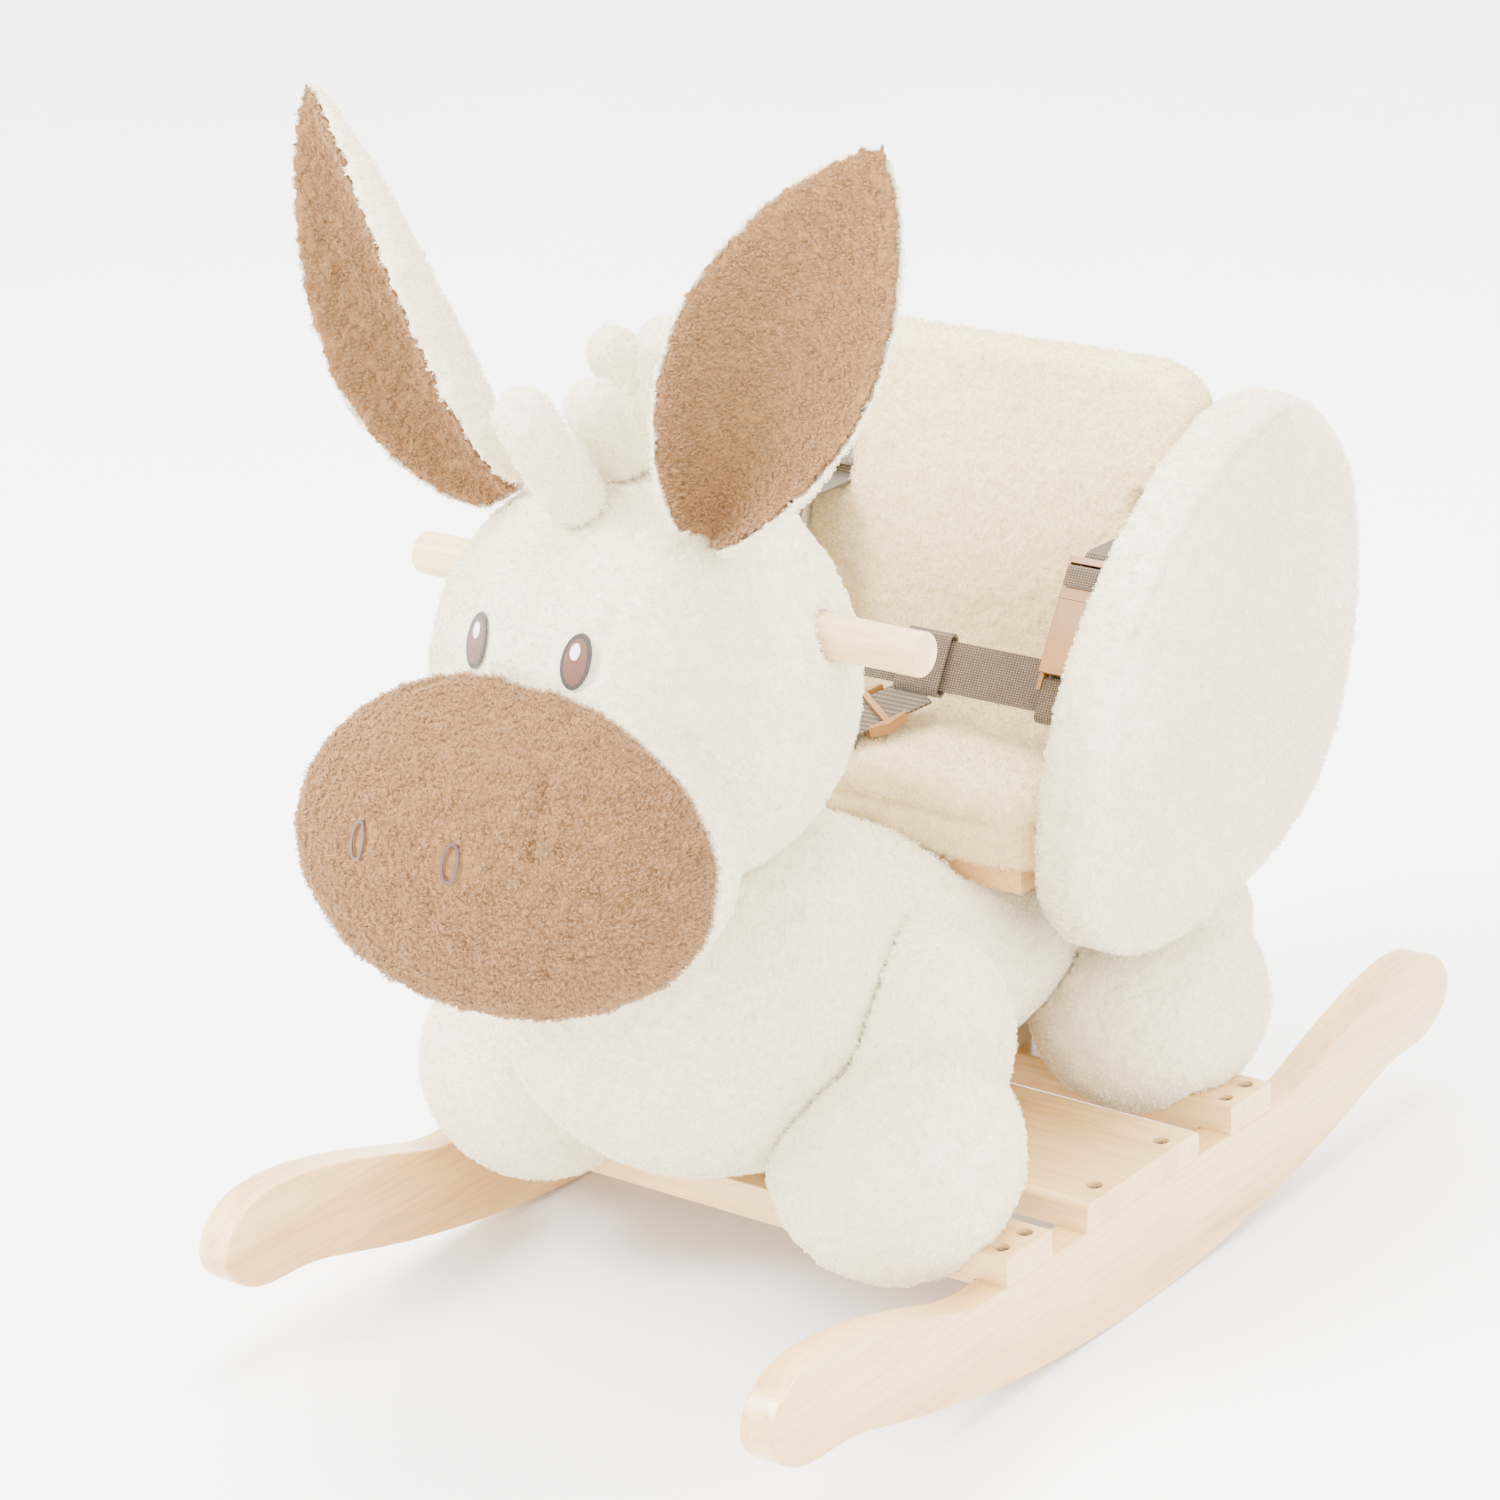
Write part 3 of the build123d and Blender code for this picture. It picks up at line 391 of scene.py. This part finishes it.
def weigh_pile(obj, clearings):
    """A pile weight per point: full on open cloth, none at each (centre, radius) clearing."""
    group = obj.vertex_groups.new(name="pile")
    normals = [vertex.normal.copy() for vertex in obj.data.vertices]
    for vertex, normal in zip(obj.data.vertices, normals):
        weight = 1.0
        for centre, radius in clearings:
            gap = (vertex.co - centre).length / radius
            weight = min(weight, max(0.0, min(1.0, (gap - 0.9) / 0.3)))
        group.add([vertex.index], weight, "REPLACE")
        if weight < 1.0:
            vertex.co -= normal * (1 - weight) * 1.0 * MM


def crease(obj, path, width, depth):
    """Pull the cover in along a sewn seam, given as a path near the surface."""
    normals = [vertex.normal.copy() for vertex in obj.data.vertices]
    for vertex, normal in zip(obj.data.vertices, normals):
        gap = min(gap_to_line(vertex.co, a, b) for a, b in zip(path, path[1:]))
        if gap < 3 * width:
            vertex.co -= normal * depth * exp(-((gap / width) ** 2))


def gap_to_line(point, a, b):
    """The distance from a point to the stretch of line from a to b."""
    run = b - a
    share = max(0.0, min(1.0, (point - a).dot(run) / run.length_squared))
    return (point - a - run * share).length


def tuft(obj, size, depth):
    """Raise clumps of pile in the mesh itself."""
    for share, kind in ((1.0, "CLOUDS"), (0.8, "VORONOI")):
        texture = bpy.data.textures.new(f"{obj.name}_{kind}", kind)
        texture.noise_scale = size * (2.2 if kind == "CLOUDS" else 1.0)
        if kind == "VORONOI":
            texture.distance_metric = "DISTANCE_SQUARED"
        modifier = obj.modifiers.new(kind, "DISPLACE")
        modifier.texture = texture
        modifier.texture_coords = "LOCAL"
        modifier.strength = depth * share
        modifier.mid_level = 0.5
        modifier.vertex_group = "pile"
    bake_modifiers(obj)


def grow(obj, fibre, per_cm2, length, thick, seed, curl=0.0):
    """The loose fibres of the pile, as fine seeded strands."""
    obj.data.materials.append(fibre)
    obj.modifiers.new("pile", "PARTICLE_SYSTEM")
    system = obj.particle_systems[0]
    system.seed = seed
    area = sum(p.area for p in obj.data.polygons) * 10000
    settings = system.settings
    settings.type = "HAIR"
    settings.use_advanced_hair = True
    settings.count = int(area * per_cm2)
    settings.hair_length = length
    settings.hair_step = 3
    settings.display_step = 3
    settings.render_step = 3
    settings.emit_from = "FACE"
    settings.material = len(obj.data.materials)
    settings.root_radius = 1.0
    settings.tip_radius = 0.45
    settings.radius_scale = thick
    settings.factor_random = LEAN_OF_FIBRES * length
    settings.child_type = "INTERPOLATED"
    settings.rendered_child_count = CHILDREN
    settings.child_percent = 2
    settings.clump_factor = 0.75
    settings.clump_shape = 0.1
    settings.child_length = 1.0
    settings.roughness_1 = 0.3 * MM
    settings.roughness_endpoint = 0.4 * MM
    if curl:
        settings.kink = "CURL"
        settings.kink_amplitude = curl
        settings.kink_frequency = 3.0
    system.vertex_group_density = "pile"


def cover(name, material, fibre, replaced, voxel=3.0 * MM, swell=0.0, clearings=(), tufts=(4.5, 2.4),
          pile=(16, 1.6), seed=1, curl=0.0, seams=(), source=None):
    """A stuffed plush piece in the place of its CAD solid."""
    made = source or copied(name, material, *replaced)
    remesh(made, voxel)
    smooth(made, 6)
    fill_out(made, swell)
    for path, width, depth in seams:
        crease(made, path, width, depth)
    weigh_pile(made, clearings)
    tuft(made, tufts[0] * MM, tufts[1] * MM)
    for polygon in made.data.polygons:
        polygon.use_smooth = True
    made.data.materials.clear()
    made.data.materials.append(material)
    coats.append((made, fibre, pile[0], pile[1] * MM, 0.2 * MM, seed, curl))
    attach(made, "rocker")
    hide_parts(*replaced)


def leaf(name, material, root, tip, facing, half_width, curl, bend, inner, outer):
    """One cloth layer of an ear: pinched at its root, cupped along its length, bent back."""
    axis = (tip - root).normalized()
    length = (tip - root).length
    front = (facing - axis * facing.dot(axis)).normalized()
    across = front.cross(axis)
    rows, columns = 40, 28
    mesh = bmesh.new()
    skins = []
    for depth in (inner, outer):
        grid = []
        for i in range(rows + 1):
            s = i / rows
            width = half_width * (0.30 * (1 - s) ** 2 + sin(pi * s**0.92) ** 0.72 * (1 - 0.1 * s)) + 0.5 * MM
            angle = curl[1] + (curl[0] - curl[1]) * (1 - s) ** 1.6
            radius = width / angle
            line = []
            for j in range(columns + 1):
                t = 2 * j / columns - 1
                lip = max(0.0, 1 - abs(t) ** 3) ** 0.5 * max(0.0, 1 - s**8) ** 0.5
                reach = radius - depth * lip
                point = root + axis * (length * s)
                point += across * (reach * sin(angle * t))
                point += front * (radius - reach * cos(angle * t) - bend * s * s)
                line.append(mesh.verts.new(point))
            grid.append(line)
        skins.append(grid)
    for grid, flip in zip(skins, (False, True)):
        for i in range(rows):
            for j in range(columns):
                corners = [grid[i][j], grid[i][j + 1], grid[i + 1][j + 1], grid[i + 1][j]]
                mesh.faces.new(corners[::-1] if flip else corners)
    first, second = skins
    for i in range(rows):
        mesh.faces.new([first[i + 1][0], second[i + 1][0], second[i][0], first[i][0]])
        mesh.faces.new([first[i][-1], second[i][-1], second[i + 1][-1], first[i + 1][-1]])
    for j in range(columns):
        mesh.faces.new([first[0][j], second[0][j], second[0][j + 1], first[0][j + 1]])
        mesh.faces.new([first[-1][j + 1], second[-1][j + 1], second[-1][j], first[-1][j]])
    bmesh.ops.recalc_face_normals(mesh, faces=mesh.faces)
    data = bpy.data.meshes.new(name)
    mesh.to_mesh(data)
    mesh.free()
    return piece(name, data, material)


def ear(side, root, tip, facing, half_width, curl, bend, seed):
    """The two layers of one ear."""
    shape = (root, tip, facing, half_width, curl, bend)
    lining = leaf(f"{side}_ear_lining", brown_cloth, *shape, 0.2 * MM, 6.5 * MM)
    back = leaf(f"{side}_ear_back", cream_cloth, *shape, -6.5 * MM, -0.2 * MM)
    cover(lining.name, brown_cloth, brown_fibre, [f"ear_{side}_lining"], voxel=2.4 * MM, tufts=(4.5, 2.6),
          pile=(18, 2.0), seed=seed, curl=0.4 * MM, source=lining)
    cover(back.name, cream_cloth, cream_fibre, [f"ear_{side}_back"], voxel=2.4 * MM, seed=seed + 1, source=back)


def mirrored(points):
    """A path in millimetres on the animal's left and its mirror image on the right."""
    return [[Vector((side * x, y, z)) * MM for x, y, z in points] for side in (1, -1)]


def on_both_sides(points, width, depth):
    """The same seam crease left and right."""
    return [(path, width * MM, depth * MM) for path in mirrored(points)]


eye_low, eye_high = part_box("eye_embroidery")
nose_low, nose_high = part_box("nostril_embroidery")


def spots(low_corner, high_corner, across, radius):
    """The two mirrored clearings round a pair of embroideries."""
    z = (low_corner[2] + high_corner[2]) / 2
    x = high_corner[0] - across
    y = (low_corner[1] + high_corner[1]) / 2
    return [(Vector((s * x, y, z)), radius) for s in (-1, 1)]


eyes = spots(eye_low, eye_high, 6.5 * MM, 13.5 * MM)
nostrils = spots(nose_low, nose_high, 4.2 * MM, 9.5 * MM)

brow_seam = on_both_sides([(50, -173, 413), (38, -216, 391), (35, -234, 362)], 3.0, 2.4)
nose_seam = on_both_sides([(35, -240, 354), (37, -248, 351), (53, -290, 332), (57, -306, 311), (60, -306, 280),
                           (60, -302, 252)], 2.6, 3.2)
cover("head", cream_cloth, cream_fibre, ["head_plush"], clearings=eyes, seed=11, seams=brow_seam)
cover("muzzle", brown_cloth, brown_fibre, ["muzzle_plush"], clearings=nostrils + eyes, tufts=(5.5, 3.6),
      pile=(20, 2.4), seed=12, curl=0.4 * MM, seams=nose_seam)
cover("torso", cream_cloth, cream_fibre, ["torso_plush"], voxel=3.4 * MM, seed=13)
for order, (name, node) in enumerate((
    ("front_foot_left", "leg_front_left"),
    ("front_foot_right", "leg_front_right"),
    ("hind_foot_left", "leg_rear_left"),
    ("hind_foot_right", "leg_rear_right"),
)):
    cover(name, cream_cloth, cream_fibre, [node], seed=20 + order)
for order, place in enumerate(("front", "middle", "rear")):
    cover(f"mane_{place}", cream_cloth, cream_fibre, [f"mane_tuft_{place}"], voxel=2.0 * MM, seed=30 + order)
ear("left", Vector((0.056, -0.174, 0.414)), Vector((0.151, -0.178, 0.592)), Vector((0.30, -0.95, 0)),
    0.056, (2.4, 0.6), 0.008, 40)
ear("right", Vector((-0.050, -0.176, 0.416)), Vector((-0.176, -0.170, 0.584)), Vector((-0.28, -0.96, 0)),
    0.053, (1.9, 1.25), 0.010, 50)
cushion_low, cushion_high = [Vector(corner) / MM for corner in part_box("seat_cushion")]
band_z = cushion_low.z + 22
band_front = cushion_low.y
band_seam = on_both_sides([(0, band_front, band_z), (84, band_front, band_z), (102, band_front + 8, band_z),
                           (110, band_front + 26, band_z), (110, cushion_high.y, band_z)], 2.6, 3.0)
back_seam = on_both_sides([(0, 129, 412), (76, 129, 411), (96, 125, 398), (104, 121, 378), (104, 97, 250)], 2.6, 2.6)
wing_seam = [(108, 164), (28, 168), (-4, 183), (-14, 212), (-8, 250), (8, 296), (40, 334), (80, 365),
             (120, 386), (166, 396)]
wing_seams = on_both_sides([(143, y, z) for y, z in wing_seam], 2.4, 2.6)
wing_seams += on_both_sides([(111, y, z) for y, z in wing_seam], 2.4, 2.6)
cover("cushion", warm_cloth, warm_fibre, ["seat_cushion"], swell=5 * MM, seed=60,
      seams=band_seam)
cover("backrest_cover", warm_cloth, warm_fibre, ["backrest_pad"], swell=5 * MM, seed=61,
      seams=back_seam)
cover("wing_cover_left", cream_cloth, cream_fibre, ["wing_pad_left"], swell=4 * MM, seed=62, seams=wing_seams)
cover("wing_cover_right", cream_cloth, cream_fibre, ["wing_pad_right"], swell=4 * MM, seed=63, seams=wing_seams)


for coat in coats:
    grow(*coat)


# ---- embroidery ----
def ellipse_mask(shader, centre_x, centre_z, half_x, half_z):
    """One inside an upright ellipse seen from the front, falling to nothing outside it."""
    split = shader.node("ShaderNodeSeparateXYZ")
    shader.link(shader.place, split.inputs[0])
    x = shader.math("DIVIDE", shader.math("SUBTRACT", split.outputs["X"], centre_x), half_x)
    z = shader.math("DIVIDE", shader.math("SUBTRACT", split.outputs["Z"], centre_z), half_z)
    reach = shader.math("ADD", shader.math("POWER", x, 2.0), shader.math("POWER", z, 2.0))
    return shader.math("LESS_THAN", reach, 1.0)


def eye_thread():
    """Satin stitch: dark rim, brown iris and a small pale highlight, with fine stitches and painted shade between
    them.
    """
    shader = Shader("eye_thread", 0.45, Sheen_Weight=0.3)
    stitches = shader.wave(420, "X", None, 1.5)
    # painted shade: iris and rim darker in the grooves between stitches
    iris = shader.ramp(stitches, [(0.0, srgb(72, 30, 10)), (1.0, srgb(118, 60, 26))])
    rim = shader.ramp(stitches, [(0.0, srgb(24, 12, 6)), (1.0, srgb(46, 26, 14))])
    colour = rim
    z = eyes[0][0].z
    for centre in (eyes[0][0].x, eyes[1][0].x):
        inside = ellipse_mask(shader, centre, z, 5.0 * MM, 9.6 * MM)
        colour = shader.mix(inside, colour, iris)
        glint = ellipse_mask(shader, centre - 0.8 * MM, z + 4.2 * MM, 2.2 * MM, 3.4 * MM)
        colour = shader.mix(glint, colour, srgb(246, 240, 228))
    shader.colour(colour)
    shader.bump(stitches, 0.3 * MM)
    return shader.material


def thread():
    """Brown embroidery thread, with painted shade between the stitches."""
    shader = Shader("brown_thread", 0.5, Sheen_Weight=0.3)
    stitches = shader.wave(500, "Z", None, 1.5)
    # painted shade: darker in the grooves between stitches
    shader.colour(shader.ramp(stitches, [(0.0, srgb(52, 24, 10)), (1.0, srgb(92, 48, 24))]))
    shader.bump(stitches, 0.3 * MM)
    return shader.material


dress(eye_thread(), "eye_embroidery")
dress(thread(), "nostril_embroidery")

# ---- the buckle strap, copied with finer faces ----
strap = copied("plug_strap", strap_cloth, "anchor_strap")
fine = bmesh.new()
fine.from_mesh(strap.data)
bmesh.ops.subdivide_edges(fine, edges=fine.edges, cuts=2, use_grid_fill=True)
fine.to_mesh(strap.data)
fine.free()
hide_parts("anchor_strap")
plug_low, plug_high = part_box("buckle_plug")
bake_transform(strap)


# ---- studio ----
def studio_floor():
    mesh = bpy.data.meshes.new("floor")
    size = 12.0
    mesh.from_pydata([(-size, -size, 0), (size, -size, 0), (size, size, 0), (-size, size, 0)], [], [(0, 1, 2, 3)])
    shader = Shader("floor_paper", 0.9)
    shader.colour(shader.ramp(shader.noise(3, 2), [(0.3, srgb(250, 250, 250)), (0.7, srgb(253, 253, 253))]))
    floor = bpy.data.objects.new("floor", mesh)
    mesh.materials.append(shader.material)
    bpy.context.scene.collection.objects.link(floor)


def area_light(name, location, target, size, watts):
    data = bpy.data.lights.new(name, "AREA")
    data.shape = "DISK"
    data.size = size
    data.energy = watts
    lamp = bpy.data.objects.new(name, data)
    lamp.location = location
    lamp.rotation_euler = (Vector(target) - Vector(location)).to_track_quat("-Z", "Y").to_euler()
    bpy.context.scene.collection.objects.link(lamp)


def studio():
    studio_floor()
    middle = (0, -0.05, 0.28)
    area_light("key", (-1.4, -2.4, 2.6), middle, 1.4, 330)
    area_light("side", (2.8, -0.8, 1.5), middle, 1.8, 70)
    area_light("top", (0, 0.4, 3.2), middle, 1.8, 200)
    world = bpy.data.worlds.new("studio")
    world.use_nodes = True
    world.node_tree.nodes["Background"].inputs["Color"].default_value = (1.0, 0.995, 0.985, 1)
    world.node_tree.nodes["Background"].inputs["Strength"].default_value = 4.6
    bpy.context.scene.world = world


def camera():
    """The photograph's viewpoint: a long lens from in front of the left shoulder, rolled a little."""
    azimuth, elevation, roll = radians(37.35), radians(20.12), radians(-1.94)
    right = Vector((cos(azimuth), sin(azimuth), 0))
    back = Vector((sin(azimuth) * cos(elevation), -cos(azimuth) * cos(elevation), sin(elevation)))
    up = back.cross(right)
    rolled_right = right * cos(roll) + up * sin(roll)
    rolled_up = up * cos(roll) - right * sin(roll)
    data = bpy.data.cameras.new("camera")
    data.lens = 112.7
    data.sensor_width = 36.0
    data.shift_x = 0.0064
    data.shift_y = -0.0012
    data.clip_end = 50
    view = bpy.data.objects.new("camera", data)
    target = Vector((0, -0.0845, 0.2757))
    columns = (rolled_right, rolled_up, back)
    view.matrix_world = Matrix.Translation(target + back * 2.1613) @ Matrix(columns).transposed().to_4x4()
    bpy.context.scene.collection.objects.link(view)
    bpy.context.scene.camera = view


studio()
camera()
